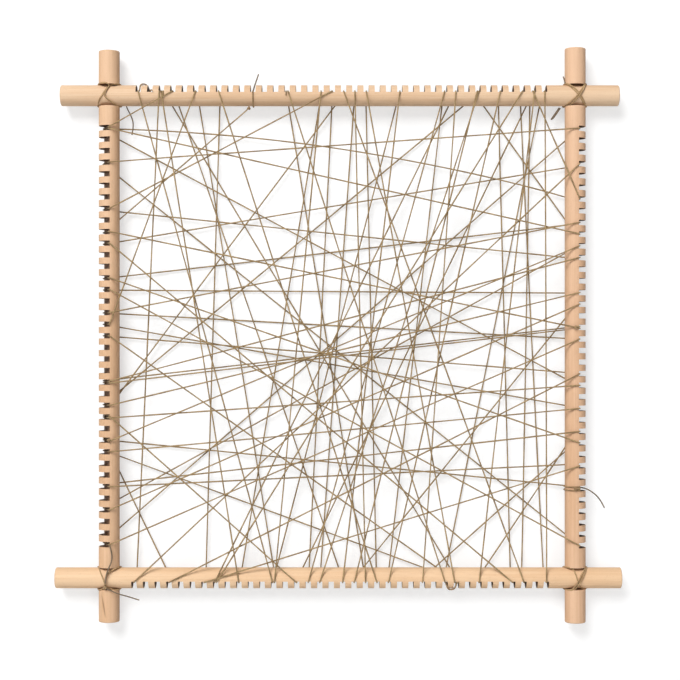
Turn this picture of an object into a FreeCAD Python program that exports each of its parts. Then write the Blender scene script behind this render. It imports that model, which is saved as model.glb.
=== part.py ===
"""A frame loom: four slotted dowels, half-lapped and lashed, with a web of twine wound between them.

X is to the right, Z is up and the front faces -Y. The origin is under the middle of the top bar,
where a wall hook carries the loom. Sizes are in millimetres.
"""
import FreeCAD, Part
import math
import os

from FreeCAD import Vector

# ---- Frame ---------------------------------------------------------------------------------------
ROD_DIAMETER = 18.0
FRAME_WIDTH = 404.4           # between the axes of the uprights
FRAME_HEIGHT = 418.4          # between the axes of the bars
TOP_BAR_ENDS = (41.6, 37.5)   # how far a rod runs past the axes that it crosses, first and last end
BOTTOM_BAR_ENDS = (46.2, 39.5)
LEFT_UPRIGHT_ENDS = (38.5, 37.8)
RIGHT_UPRIGHT_ENDS = (40.8, 38.4)
END_ROUNDING = 0.9
LAP_CLEARANCE = 0.45          # each side of a half-lap housing

# ---- Comb slots ----------------------------------------------------------------------------------
SLOT_COUNT = 37
SLOT_WIDTH = 4.6
SLOT_DEPTH = 7.0
TOP_SLOT_MARGINS = (26.15, 27.6)     # from a crossing's axis to the nearest slot, first and last
BOTTOM_SLOT_MARGINS = (22.4, 26.05)
LEFT_SLOT_MARGINS = (28.7, 29.9)
RIGHT_SLOT_MARGINS = (29.3, 28.9)
TOP_SLOT_DRIFT = 1.95        # how far the middle slot lies past the middle of an even comb
BOTTOM_SLOT_DRIFT = 2.2
LEFT_SLOT_DRIFT = -0.25
RIGHT_SLOT_DRIFT = 1.7
LEFT_UPRIGHT_ROLL = 25.0             # degrees that the left comb is turned towards the front

# ---- Twine ---------------------------------------------------------------------------------------
TWINE_DIAMETER = 1.1
TWINE_GAP = 0.15              # between the twine and the wood
TWINE_BEND = 1.3              # radius of a bend over the edge of a slot
LANE_PITCH = 1.6              # between two strands in one slot
KNOT_DIAMETER = 3.4
LASHING_END_RADIUS = 7.6      # of the small arcs of a lashing's oval
LASHING_GAP = 0.5             # between a lashing and the dowels
SLACK_RISE = 14.0             # how far the one slack strand stands above a straight line

ROD_RADIUS = ROD_DIAMETER / 2
TWINE_RADIUS = TWINE_DIAMETER / 2
FLOOR = ROD_RADIUS - SLOT_DEPTH                       # slot floor, from the dowel's axis
STRAND_FLOOR = FLOOR + TWINE_RADIUS + TWINE_GAP       # a strand's axis over the slot floor
STRAND_FACE = ROD_RADIUS + TWINE_RADIUS + TWINE_GAP   # a strand's axis over the dowel's face
LAP_HALF_WIDTH = ROD_RADIUS + LAP_CLEARANCE
MARGIN = 1.0                                          # how far a cutter runs past what it cuts
SHARPEST_IN_LINE = math.radians(0.3)                  # a smaller turn counts as straight
RUN_SHARE = 0.45                                      # of a run, that one bend may use up

BACK = Vector(0, 1, 0)
FACES = {"f": -1, "b": 1}     # the front and the back of a dowel
OTHER_FACE = {"f": "b", "b": "f"}

# Each length of twine, stop by stop: the dowel (Top, Bottom, Left, Right), the slot, and the face of
# the dowel that the twine comes to and leaves from. A dash is where a length starts or ends.
WEB_ROUTES = (
    "T1-f B13fb T24bf B19fb T4bf L1fb R7bf T36fb B35bf T19fb L26bf B15fb T36bf "
    "B31fb R27bf L32bf R30bf B7fb T8bf B22fb T21bf B29fb L19fb R22bf B4fb L28b-",
    "T3-f B1bf R4fb L11bf B34fb T33bf B23fb T28bf B16fb T18bf L8fb R12bf L23fb R18b-",
    "T11-f L10bf R18fb L23f-",
    "L26-f R23fb L1bf R10fb T31bf B20fb R16bf L34fb R11bf L28fb R32b-",
    "T3-f B10fb T17bf B13fb T6bf L18fb R25bf L29fb B29bb T3b-",
    "T14-b B21bf T20fb B17bf T31fb L25bf R15fb L15bf R37fb L4bf R1fb L37bf R19fb "
    "L17bf R9fb L14bf R28fb B26bf T29fb B8ff T35fb B37bf T37fb B28bf T14f-",
)
SLACK_STRAND = ("L1", "R7")
LOW_KNOT = "T11"              # this length starts at a knot under its bar's lower edge
LOW_KNOT_SHIFT = (-3.4, -3.2)     # of that knot, along the bar from its slot and out past the bar
KNOTS = ("T1b", "T3b", "T14b", "L23b", "L26b", "L28f", "R18f", "R32f")
TOOTH_LOOPS = ("T1", "B28")   # loose loops over the tooth after each of these slots

# Loose ends, as steps chosen by hand from where each one leaves its knot or slot. Those that are
# 30 mm or longer hang free, and the others are short stiff ends.
RIGHT_TAIL = ((0.0, 0.0, 0.0), (4.4, -3.2, -0.2), (10.2, -4.6, -3.2), (15.2, -4.2, -7.4),
              (18.9, -3.2, -12.4), (21.6, -2.4, -17.6))
BOTTOM_LEFT_TAIL = ((0.0, 0.0, 0.0), (5.2, -0.6, -2.3), (11.0, 1.2, -5.2), (16.7, 3.6, -7.1),
                    (22.4, 5.2, -9.2), (27.7, 5.8, -11.0))
TOP_LEFT_TAIL = ((0.0, 0.0, 0.0), (1.9, -0.6, -5.9), (5.0, -1.6, -11.3), (7.5, -2.7, -17.2),
                 (7.9, -3.0, -23.6), (6.6, -2.4, -29.7))
TOP_BAR_TAIL = ((0.0, 0.0, 0.0), (0.8, -0.3, 3.4), (2.4, -0.2, 8.0), (4.6, 0.4, 14.6))
SHORT_UPPER_TAIL = ((0.0, 0.0, 0.0), (-0.3, 0.4, 3.0), (-1.6, 0.6, 6.4))
SHORT_LOWER_TAIL = ((0.0, 0.0, 0.0), (-3.4, 0.8, -5.0), (-7.0, 1.0, -10.2))
LEAD = ((0.0, 0.0, 0.0), (2.2, -1.3, -6.0), (2.6, -1.9, -15.6), (-1.6, -2.4, -26.0))


class Rod:
    """A dowel, measured along its axis from the crossing nearest its first slot."""

    def __init__(self, name, start, along, outward, span, ends, margins, drift, roll=0.0):
        self.name = name
        self.start = start
        self.along = along
        self.outward = outward
        self.span = span
        self.ends = ends
        self.first = margins[0]
        self.pitch = (span - margins[0] - margins[1]) / (SLOT_COUNT - 1)
        self.drift = drift
        self.roll = math.radians(roll)

    def point(self, s, out, back):
        """The point s along the axis, out towards the comb's side and back from the axis."""
        return self.start + self.along * s + self.outward * out + BACK * back

    def turned(self, s, out, back):
        """As point, but measured on the comb, which may be rolled towards the front."""
        cos, sin = math.cos(self.roll), math.sin(self.roll)
        return self.point(s, out * cos + back * sin, back * cos - out * sin)

    def slot(self, number):
        share = (number - 1) / (SLOT_COUNT - 1)
        return self.first + (number - 1) * self.pitch + self.drift * 4 * share * (1 - share)

    def block(self, low, high):
        """A box between two points given as (s, out, back)."""
        a = self.point(*low)
        b = self.point(*high)
        corner = Vector(min(a.x, b.x), min(a.y, b.y), min(a.z, b.z))
        size = Vector(abs(a.x - b.x), abs(a.y - b.y), abs(a.z - b.z))
        return Part.makeBox(size.x, size.y, size.z, corner)

    def slot_cutter(self, number):
        s = self.slot(number)
        reach = ROD_RADIUS + MARGIN
        box = self.block((s - SLOT_WIDTH / 2, FLOOR, -reach), (s + SLOT_WIDTH / 2, reach, reach))
        if self.roll:
            facing_back = self.along.cross(self.outward).dot(BACK) > 0
            turn = -self.roll if facing_back else self.roll
            box.rotate(self.start, self.along, math.degrees(turn))
        return box

    def housing(self, s, face):
        """The half-lap at a crossing: everything on one face of the axis is cut away."""
        reach = ROD_RADIUS + MARGIN
        low = (s - LAP_HALF_WIDTH, -reach, 0.0)
        high = (s + LAP_HALF_WIDTH, reach, FACES[face] * reach)
        return self.block(low, high)

    def solid(self, housing_face):
        length = self.ends[0] + self.span + self.ends[1]
        dowel = Part.makeCylinder(ROD_RADIUS, length, self.point(-self.ends[0], 0, 0), self.along)
        rims = [e for e in dowel.Edges if e.Closed and isinstance(e.Curve, Part.Circle)]
        dowel = dowel.makeFillet(END_ROUNDING, rims)
        cutters = [self.slot_cutter(number) for number in range(1, SLOT_COUNT + 1)]
        cutters.append(self.housing(0.0, housing_face))
        cutters.append(self.housing(self.span, housing_face))
        return dowel.cut(cutters)


def make_rods():
    left = -FRAME_WIDTH / 2
    right = FRAME_WIDTH / 2
    top = ROD_RADIUS
    bottom = ROD_RADIUS - FRAME_HEIGHT
    x_axis = Vector(1, 0, 0)
    down = Vector(0, 0, -1)
    return {
        "T": Rod("top_bar", Vector(left, 0, top), x_axis, Vector(0, 0, 1),
                 FRAME_WIDTH, TOP_BAR_ENDS, TOP_SLOT_MARGINS, TOP_SLOT_DRIFT),
        "B": Rod("bottom_bar", Vector(left, 0, bottom), x_axis, Vector(0, 0, -1),
                 FRAME_WIDTH, BOTTOM_BAR_ENDS, BOTTOM_SLOT_MARGINS, BOTTOM_SLOT_DRIFT),
        "L": Rod("left_upright", Vector(left, 0, top), down, Vector(-1, 0, 0),
                 FRAME_HEIGHT, LEFT_UPRIGHT_ENDS, LEFT_SLOT_MARGINS, LEFT_SLOT_DRIFT,
                 LEFT_UPRIGHT_ROLL),
        "R": Rod("right_upright", Vector(right, 0, top), down, Vector(1, 0, 0),
                 FRAME_HEIGHT, RIGHT_UPRIGHT_ENDS, RIGHT_SLOT_MARGINS, RIGHT_SLOT_DRIFT),
    }


RODS = make_rods()
HOUSING_FACES = {"T": "b", "B": "b", "L": "f", "R": "f"}   # the bars pass in front of the uprights


# ---- Tubes along straight runs and tangent arcs --------------------------------------------------
def bend_at(before, corner, after, wanted):
    """Where the arc at a corner starts and ends, its middle point and its radius."""
    to_before = before - corner
    to_after = after - corner
    shorter = min(to_before.Length, to_after.Length)
    to_before.normalize()
    to_after.normalize()
    turn = math.pi - to_before.getAngle(to_after)
    radius = min(wanted, RUN_SHARE * shorter / math.tan(turn / 2))
    reach = radius * math.tan(turn / 2)
    inward = to_before + to_after
    inward.normalize()
    centre = corner + inward * (radius / math.cos(turn / 2))
    middle = centre - inward * radius
    return corner + to_before * reach, middle, corner + to_after * reach, radius


def without_straight_points(points):
    """The points, less those where the route doesn't turn."""
    kept = [points[0]]
    for here, following in zip(points[1:-1], points[2:]):
        turn = (here[0] - kept[-1][0]).getAngle(following[0] - here[0])
        if turn > SHARPEST_IN_LINE:
            kept.append(here)
    return kept + [points[-1]]


def tube(points, radius=TWINE_RADIUS):
    """A tube along (point, wanted bend radius) pairs. Returns the solid and the radii of its bends."""
    points = without_straight_points(points)
    edges = []
    radii = []
    at = points[0][0]
    for before, corner, after in zip(points, points[1:], points[2:]):
        start, middle, end, bend = bend_at(before[0], corner[0], after[0], corner[1])
        edges.append(Part.LineSegment(at, start).toShape())
        edges.append(Part.Arc(start, middle, end).toShape())
        radii.append(bend)
        at = end
    edges.append(Part.LineSegment(at, points[-1][0]).toShape())
    return pipe(edges, points[0][0], points[1][0] - points[0][0], radius), radii


def pipe(edges, start, direction, radius=TWINE_RADIUS):
    section = Part.Wire(Part.Circle(start, direction, radius).toShape())
    return Part.Wire(edges).makePipeShell([section], True, False)


# ---- The web -------------------------------------------------------------------------------------
class Stop:
    """One visit of the twine to a slot."""

    def __init__(self, text):
        self.rod = RODS[text[0]]
        self.place = text[:-2]
        self.number = int(text[1:-2])
        self.arrives = text[-2]
        self.leaves = text[-1]
        self.lanes = []

    def strands(self):
        """How many strands of this visit lie side by side in the slot."""
        return 2 if self.arrives == self.leaves else 1

    def hangs_low(self):
        return self.arrives == "-" and self.place == LOW_KNOT

    def corner(self, face, lane):
        s = self.rod.slot(self.number) + lane
        if self.hangs_low():
            along, past = LOW_KNOT_SHIFT
            return self.rod.point(s + along, past - ROD_RADIUS, FACES[face] * ROD_RADIUS)
        return self.rod.turned(s, STRAND_FLOOR, FACES[face] * STRAND_FACE)

    def wrap(self, face, lane):
        """Where the twine turns on a rolled dowel's back, if it does."""
        if not self.rod.roll or face == "f":
            return []
        corner = self.corner(face, lane) - self.rod.point(0, 0, 0)
        half = math.atan2(corner.dot(self.rod.outward), corner.dot(BACK)) / 2
        out = STRAND_FACE * math.tan(half)
        s = self.rod.slot(self.number) + lane
        return [(self.rod.point(s, out, STRAND_FACE), STRAND_FACE)]

    def anchor(self, face, lane):
        """The end of a length, tied down on the face of the dowel."""
        s = self.rod.slot(self.number) + lane
        return self.rod.point(s, -TWINE_BEND, FACES[face] * STRAND_FACE)

    def points(self):
        """The route through the slot, as (point, bend radius) pairs."""
        first, last = self.lanes[0], self.lanes[-1]
        if self.hangs_low():
            return [(self.corner(self.leaves, first), TWINE_BEND)]
        if self.arrives == "-":
            opposite = OTHER_FACE[self.leaves]
            start = [(self.anchor(opposite, first), TWINE_BEND)]
            start += self.wrap(opposite, first)
            start += [(self.corner(opposite, first), TWINE_BEND)]
            return start + [(self.corner(self.leaves, first), TWINE_BEND)] + self.wrap(self.leaves, first)
        arrival = self.wrap(self.arrives, first) + [(self.corner(self.arrives, first), TWINE_BEND)]
        opposite = OTHER_FACE[self.arrives]
        across = [(self.corner(opposite, first), TWINE_BEND)]
        if self.leaves == "-":
            return arrival + across + self.wrap(opposite, first) + [(self.anchor(opposite, first), 0)]
        if self.leaves == self.arrives:
            across += [(self.corner(opposite, last), TWINE_BEND)]
            across += [(self.corner(self.leaves, last), TWINE_BEND)]
        return arrival + across + self.wrap(self.leaves, last)


def give_lanes(routes):
    """Spreads the strands that share a slot evenly across it."""
    strands = {}
    for stop in (stop for route in routes for stop in route):
        strands[stop.place] = strands.get(stop.place, 0) + stop.strands()
    used = {}
    for stop in (stop for route in routes for stop in route):
        for _ in range(stop.strands()):
            turn = used.get(stop.place, 0)
            used[stop.place] = turn + 1
            stop.lanes.append((turn - (strands[stop.place] - 1) / 2) * LANE_PITCH)


def leaving_point(stop, face, lane, other):
    """Where a chord that changes faces leaves the face of its dowel, on its straight line."""
    if stop.rod.roll and face == "f":
        return []
    here = stop.corner(face, lane)
    if other is None:
        return []
    out_here = (here - stop.rod.start).dot(stop.rod.outward)
    out_there = (other - stop.rod.start).dot(stop.rod.outward)
    point = here + (other - here) * (out_here / (out_here - out_there))
    point.y = FACES[face] * STRAND_FACE
    return [(point, STRAND_FACE)]


def chord(before, after):
    """The points between two stops: none on a straight chord, and more where it changes faces."""
    a = before.corner(before.leaves, before.lanes[-1])
    b = after.corner(after.arrives, after.lanes[0])
    if (before.place, after.place) == SLACK_STRAND:
        rise = Vector(0, 0, SLACK_RISE)
        return [(a + (b - a) / 3 + rise, FRAME_WIDTH), (a + (b - a) * 2 / 3 + rise, FRAME_WIDTH)]
    if before.leaves == after.arrives:
        return []
    start = leaving_point(before, before.leaves, before.lanes[-1], b)
    end = leaving_point(after, after.arrives, after.lanes[0], a)
    return start + end


def web_points(route):
    points = list(route[0].points())
    for before, after in zip(route, route[1:]):
        points += chord(before, after)
        points += after.points()
    return points


# ---- Lashings, hitches, knots and tails ----------------------------------------------------------
def oval_half(centre, direction, side, reach, depth):
    """Half an oval of three tangent arcs, from -reach to reach along direction, bulging by depth."""
    small = LASHING_END_RADIUS
    inset = reach - small
    large = (inset ** 2 + depth ** 2 - small ** 2) / (2 * (depth - small))
    angle = math.atan2(inset, large - depth)

    def at(u, v):
        return centre + direction * u + side * v

    def on_small(sign, a):
        return at(sign * (inset + small * math.sin(a)), small * math.cos(a))

    joint = math.sin(angle) * large
    rise = math.cos(angle) * large - (large - depth)
    middle = (angle + math.pi / 2) / 2
    return [
        Part.Arc(at(-reach, 0), on_small(-1, middle), at(-joint, rise)).toShape(),
        Part.Arc(at(-joint, rise), at(0, depth), at(joint, rise)).toShape(),
        Part.Arc(at(joint, rise), on_small(1, middle), at(reach, 0)).toShape(),
    ]


def lashing_turn(centre, turn):
    """One closed turn: crosswise over the front of a crossing and straight up and down behind it."""
    step = turn * TWINE_DIAMETER * 1.1
    crotch = ROD_RADIUS + TWINE_RADIUS + LASHING_GAP + step
    reach = crotch * math.sqrt(2)
    depth = STRAND_FACE + LASHING_GAP + 2 * step
    falling = Vector(1, 0, -1).normalize()
    rising = Vector(-1, 0, -1).normalize()
    edges = oval_half(centre, falling, -BACK, reach, depth)
    edges.append(behind(centre, crotch, -crotch, crotch))
    edges += oval_half(centre, rising, -BACK, reach, depth + TWINE_DIAMETER + TWINE_GAP)
    edges.append(behind(centre, -crotch, -crotch, crotch))
    return pipe(edges, centre - falling * reach, -BACK)


def behind(centre, x, z_from, z_to):
    """The half circle behind the horizontal bar, at x beside the upright."""
    middle = Vector(x, abs(z_from), 0)
    return Part.Arc(centre + Vector(x, 0, z_from), centre + middle, centre + Vector(x, 0, z_to)).toShape()


def crossing(horizontal, vertical):
    return Vector(RODS[vertical].start.x, 0, RODS[horizontal].start.z)


def lashing(horizontal, vertical, turns):
    centre = crossing(horizontal, vertical)
    return Part.Compound([lashing_turn(centre, turn) for turn in range(turns)])


def hitch_turn(rod, s):
    """A closed turn of twine through a slot and round the inner side of the dowel."""
    straight = STRAND_FLOOR - TWINE_BEND
    edges = []

    def at(out, back):
        return rod.turned(s, out, back)

    bend = TWINE_BEND
    edges.append(Part.Arc(at(0, STRAND_FACE), at(-STRAND_FACE, 0), at(0, -STRAND_FACE)).toShape())
    edges.append(Part.LineSegment(at(0, -STRAND_FACE), at(straight, -STRAND_FACE)).toShape())
    edges.append(corner_arc(at, -1, straight, bend))
    edges.append(Part.LineSegment(at(STRAND_FLOOR, bend - STRAND_FACE),
                                  at(STRAND_FLOOR, STRAND_FACE - bend)).toShape())
    edges.append(corner_arc(at, 1, straight, bend))
    edges.append(Part.LineSegment(at(straight, STRAND_FACE), at(0, STRAND_FACE)).toShape())
    return pipe(edges, at(0, STRAND_FACE), at(1, 0) - at(0, 0))


def corner_arc(at, side, straight, bend):
    """The quarter turn over the edge of a slot, from the face for -1 and to it for 1."""
    half = bend * math.sqrt(0.5)
    face = at(straight, side * STRAND_FACE)
    middle = at(straight + half, side * (STRAND_FACE - bend + half))
    floor = at(STRAND_FLOOR, side * (STRAND_FACE - bend))
    ends = (face, floor) if side < 0 else (floor, face)
    return Part.Arc(ends[0], middle, ends[1]).toShape()


def hitch(rod, number, turns):
    lanes = [(turn - (turns - 1) / 2) * LANE_PITCH for turn in range(turns)]
    return Part.Compound([hitch_turn(rod, rod.slot(number) + lane) for lane in lanes])


def knot(point):
    return Part.makeSphere(KNOT_DIAMETER / 2, point)


def knot_point(text):
    """On the named face of the dowel, just inside its slot."""
    rod = RODS[text[0]]
    s = rod.slot(int(text[1:-1]))
    return rod.point(s, -TWINE_BEND, FACES[text[-1]] * (ROD_RADIUS + KNOT_DIAMETER / 2 + TWINE_GAP))


def tooth_loop(rod, number):
    """A loose loop over the tooth that follows a slot, near the dowel's front."""
    first = rod.slot(number)
    last = rod.slot(number + 1)
    depth = -ROD_RADIUS / 2
    over = math.sqrt(ROD_RADIUS ** 2 - depth ** 2) + TWINE_RADIUS + 3 * TWINE_GAP
    route = ((first, STRAND_FLOOR), (first, over), (last, over), (last, STRAND_FLOOR))
    return tube([(rod.point(s, out, depth), 2 * TWINE_BEND) for s, out in route])[0]


def loose_end(start, route):
    """A short stiff end of twine."""
    return tube([(start + Vector(*step), FRAME_WIDTH) for step in route])[0]


def free_tail(name, start, route):
    """A loose end, whose bends are as large as its runs allow."""
    points = [(start + Vector(*step), FRAME_WIDTH) for step in route]
    solid, radii = tube(points)
    section = math.pi * TWINE_RADIUS ** 2
    print(f"{name}: radii {[round(r, 1) for r in radii]}, length {solid.Volume / section:.1f}")
    return solid


# ---- The loom ------------------------------------------------------------------------------------
def build():
    nodes = {rod.name: rod.solid(HOUSING_FACES[letter]) for letter, rod in RODS.items()}

    routes = [[Stop(text) for text in route.split()] for route in WEB_ROUTES]
    give_lanes(routes)
    for number, route in enumerate(routes, start=1):
        nodes[f"web_twine_{number}"] = tube(web_points(route))[0]

    nodes["top_left_lashing"] = lashing("T", "L", 1)
    nodes["top_right_lashing"] = lashing("T", "R", 2)
    nodes["bottom_left_lashing"] = lashing("B", "L", 2)
    nodes["bottom_right_lashing"] = lashing("B", "R", 2)

    for text in KNOTS:
        rod = RODS[text[0]]
        nodes[f"{rod.name}_knot_{text[1:-1]}"] = knot(knot_point(text))

    for text in TOOTH_LOOPS:
        rod = RODS[text[0]]
        nodes[f"{rod.name}_tooth_loop"] = tooth_loop(rod, int(text[1:]))

    low = routes[2][0]
    nodes["top_bar_low_knot"] = knot(low.corner("f", 0.0))
    nodes["top_bar_hitch"] = hitch(RODS["T"], low.number, 1)
    nodes["right_upright_hitch"] = hitch(RODS["R"], 32, 2)
    slot_front = RODS["T"].point(RODS["T"].slot(low.number), STRAND_FLOOR + TWINE_DIAMETER, -FLOOR)
    nodes["top_bar_tail"] = loose_end(slot_front, TOP_BAR_TAIL)

    upper_right = crossing("T", "R")
    above = upper_right + Vector(-ROD_RADIUS, -FLOOR, ROD_RADIUS + TWINE_DIAMETER)
    below = upper_right + Vector(-ROD_RADIUS - 4 * TWINE_DIAMETER, FLOOR, -ROD_RADIUS - TWINE_DIAMETER)
    ends = [loose_end(above, SHORT_UPPER_TAIL), loose_end(below, SHORT_LOWER_TAIL)]
    nodes["top_right_lashing_ends"] = Part.Compound(ends)

    lower_left = crossing("B", "L") + Vector(-FLOOR, -STRAND_FACE - TWINE_DIAMETER, FLOOR - ROD_RADIUS)
    nodes["bottom_left_lashing_knot"] = knot(lower_left)
    last_slot = RODS["L"].turned(RODS["L"].slot(SLOT_COUNT), STRAND_FLOOR, -STRAND_FACE)
    nodes["bottom_left_lashing_lead"] = loose_end(last_slot, LEAD)

    right_start = RODS["R"].point(RODS["R"].slot(32) - TWINE_RADIUS, STRAND_FLOOR + TWINE_RADIUS, -1.0)
    left_start = lower_left + Vector(TWINE_DIAMETER, 0, -TWINE_RADIUS)
    top_start = crossing("T", "L") + Vector(ROD_RADIUS + 3.0, STRAND_FACE + TWINE_RADIUS, -3.3)
    for name, start, route in (("right_upright_tail", right_start, RIGHT_TAIL),
                               ("bottom_left_lashing_tail", left_start, BOTTOM_LEFT_TAIL),
                               ("top_left_lashing_tail", top_start, TOP_LEFT_TAIL)):
        nodes[name] = free_tail(name, start, route)
    return nodes


def main():
    os.makedirs("parts", exist_ok=True)
    for name, shape in build().items():
        if not shape.isValid():
            print(f"{name} isn't a valid shape")
        shape.exportStep(f"parts/{name}.step")
        print(f"{name}: {len(shape.Solids)} solid(s), {shape.Volume:.0f} mm3")


main()
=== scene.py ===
"""Dresses a frame loom: four slotted dowels, and the natural twine wound, lashed and knotted on them.

Lengths are in millimetres until a point is handed to Blender, which works in metres. X is to the
right, Z is up and the front of the loom faces -Y.
"""

from __future__ import annotations

import logging
import math
import random
from dataclasses import dataclass, field
from enum import Enum

import bmesh
import bpy
import numpy as np
from mathutils import Matrix, Vector

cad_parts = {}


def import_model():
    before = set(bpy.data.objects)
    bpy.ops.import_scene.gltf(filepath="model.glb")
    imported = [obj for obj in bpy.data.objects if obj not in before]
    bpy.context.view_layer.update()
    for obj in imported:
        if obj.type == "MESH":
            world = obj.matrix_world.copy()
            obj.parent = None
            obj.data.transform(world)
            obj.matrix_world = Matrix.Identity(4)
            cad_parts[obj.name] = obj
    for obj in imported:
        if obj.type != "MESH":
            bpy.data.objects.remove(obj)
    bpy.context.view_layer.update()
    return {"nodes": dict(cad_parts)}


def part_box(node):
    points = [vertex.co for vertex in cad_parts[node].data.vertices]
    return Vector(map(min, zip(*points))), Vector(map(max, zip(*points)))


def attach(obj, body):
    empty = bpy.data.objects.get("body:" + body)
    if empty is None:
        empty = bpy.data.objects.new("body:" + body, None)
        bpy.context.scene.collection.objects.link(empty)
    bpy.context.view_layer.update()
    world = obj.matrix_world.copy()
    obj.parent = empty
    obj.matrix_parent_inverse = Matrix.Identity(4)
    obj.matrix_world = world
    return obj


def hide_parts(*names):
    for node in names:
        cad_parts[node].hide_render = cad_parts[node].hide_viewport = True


MM = 0.001
TWINE = 1.1
RADIUS = 9.0
BODY = "root"
LOG = logging.getLogger("loom")


class Face(Enum):
    """The two faces of the loom, by the sign of their side of Y."""

    FRONT = -1
    BACK = 1

    @property
    def other(self) -> Face:
        """The opposite face."""
        return Face.BACK if self is Face.FRONT else Face.FRONT


class Slot(Enum):
    """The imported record's material slots for twine."""

    WEB = "web_twine"
    LASHING = "lashing_twine"
    KNOT = "knot_twine"
    TAIL = "tail_twine"


def link(name: str, data: bpy.types.ID) -> bpy.types.Object:
    """Makes an object and puts it in the scene.

    Args:
        name: The object's name.
        data: Its mesh, curve, camera or light.

    Returns:
        The object.
    """
    made = bpy.data.objects.new(name, data)
    bpy.context.scene.collection.objects.link(made)
    return made


# ---- Shader building -----------------------------------------------------------------------------
class Graph:
    """A short way to add and link the nodes of one node tree."""

    def __init__(self, tree: bpy.types.NodeTree) -> None:
        """Wraps a node tree.

        Args:
            tree: The tree that the nodes are added to.
        """
        self.tree = tree

    def node(self, kind: str, **settings: object) -> bpy.types.Node:
        """Adds a node.

        Args:
            kind: The node's Blender type.
            settings: Properties of the node to set.

        Returns:
            The new node.
        """
        made = self.tree.nodes.new(kind)
        for name, value in settings.items():
            setattr(made, name, value)
        return made

    def feed(self, socket: bpy.types.NodeSocket, value: object) -> None:
        """Links a socket to an input, or sets the input's own value.

        Args:
            socket: The input.
            value: An output socket, or a plain value.
        """
        if isinstance(value, bpy.types.NodeSocket):
            self.tree.links.new(value, socket)
        else:
            socket.default_value = value

    def math(self, operation: str, a: object, b: object = 0.0) -> bpy.types.NodeSocket:
        """Adds a Math node.

        Args:
            operation: Its operation.
            a: Its first input.
            b: Its second input.

        Returns:
            The node's output.
        """
        made = self.node("ShaderNodeMath", operation=operation)
        self.feed(made.inputs[0], a)
        self.feed(made.inputs[1], b)
        return made.outputs[0]

    def vector(self, operation: str, a: object, b: object) -> bpy.types.NodeSocket:
        """Adds a Vector Math node.

        Args:
            operation: Its operation.
            a: Its first input.
            b: Its second input.

        Returns:
            The node's vector output.
        """
        made = self.node("ShaderNodeVectorMath", operation=operation)
        self.feed(made.inputs[0], a)
        self.feed(made.inputs[1], b)
        return made.outputs[0]

    def noise(self, vector: object, detail: float, rough: float) -> bpy.types.NodeSocket:
        """Adds a Noise texture of scale 1.

        Args:
            vector: The coordinates that it reads, already scaled.
            detail: How many finer layers it has.
            rough: How strong the finer layers are.

        Returns:
            The noise's value.
        """
        made = self.node("ShaderNodeTexNoise")
        self.feed(made.inputs["Vector"], vector)
        made.inputs["Scale"].default_value = 1.0
        made.inputs["Detail"].default_value = detail
        made.inputs["Roughness"].default_value = rough
        return made.outputs["Fac"]

    def band(self, value: object, low: float, high: float) -> bpy.types.NodeSocket:
        """Maps a value smoothly from 0 at low to 1 at high.

        Args:
            value: The value.
            low: Where the result is 0.
            high: Where the result is 1.

        Returns:
            The mapped value.
        """
        made = self.node("ShaderNodeMapRange", interpolation_type="SMOOTHSTEP")
        rising = low < high
        limits = (min(low, high), max(low, high), 0.0 if rising else 1.0, 1.0 if rising else 0.0)
        self.feed(made.inputs[0], value)
        for socket, limit in zip(list(made.inputs)[1:5], limits):
            socket.default_value = limit
        return made.outputs[0]

    def mix(self, factor: object, a: object, b: object) -> bpy.types.NodeSocket:
        """Mixes two colours.

        Args:
            factor: How much of the second one.
            a: The first colour.
            b: The second colour.

        Returns:
            The mixed colour.
        """
        made = self.node("ShaderNodeMix", data_type="RGBA", blend_type="MIX")
        self.feed(made.inputs[0], factor)
        self.feed(made.inputs[6], a)
        self.feed(made.inputs[7], b)
        return made.outputs[2]

    def relief(self, shader: bpy.types.Node, height: object, strength: float) -> None:
        """Gives a shader fine bumps.

        Args:
            shader: The shader.
            height: The pattern of the bumps.
            strength: How strong they are.
        """
        made = self.node("ShaderNodeBump")
        made.inputs["Strength"].default_value = strength
        made.inputs["Distance"].default_value = 0.12 * MM
        self.feed(made.inputs["Height"], height)
        self.feed(shader.inputs["Normal"], made.outputs["Normal"])


def new_material(name: str) -> tuple[bpy.types.Material, Graph, bpy.types.Node]:
    """Starts a material.

    Args:
        name: The material's name.

    Returns:
        The material, a graph that builds in it, and its Principled shader.
    """
    made = bpy.data.materials.new(name)
    made.use_nodes = True
    return made, Graph(made.node_tree), made.node_tree.nodes["Principled BSDF"]


def new_group(name: str, takes: dict[str, str],
              gives: dict[str, str]) -> tuple[bpy.types.NodeTree, Graph]:
    """Starts a shader node group.

    Args:
        name: The group's name.
        takes: The socket type of each input, by name.
        gives: The socket type of each output, by name.

    Returns:
        The group's tree and a graph that builds in it.
    """
    tree = bpy.data.node_groups.new(name, "ShaderNodeTree")
    for label, kind in takes.items():
        tree.interface.new_socket(name=label, in_out="INPUT", socket_type=kind)
    for label, kind in gives.items():
        tree.interface.new_socket(name=label, in_out="OUTPUT", socket_type=kind)
    return tree, Graph(tree)


COLOUR, FLOAT, VECTOR = "NodeSocketColor", "NodeSocketFloat", "NodeSocketVector"


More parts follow.
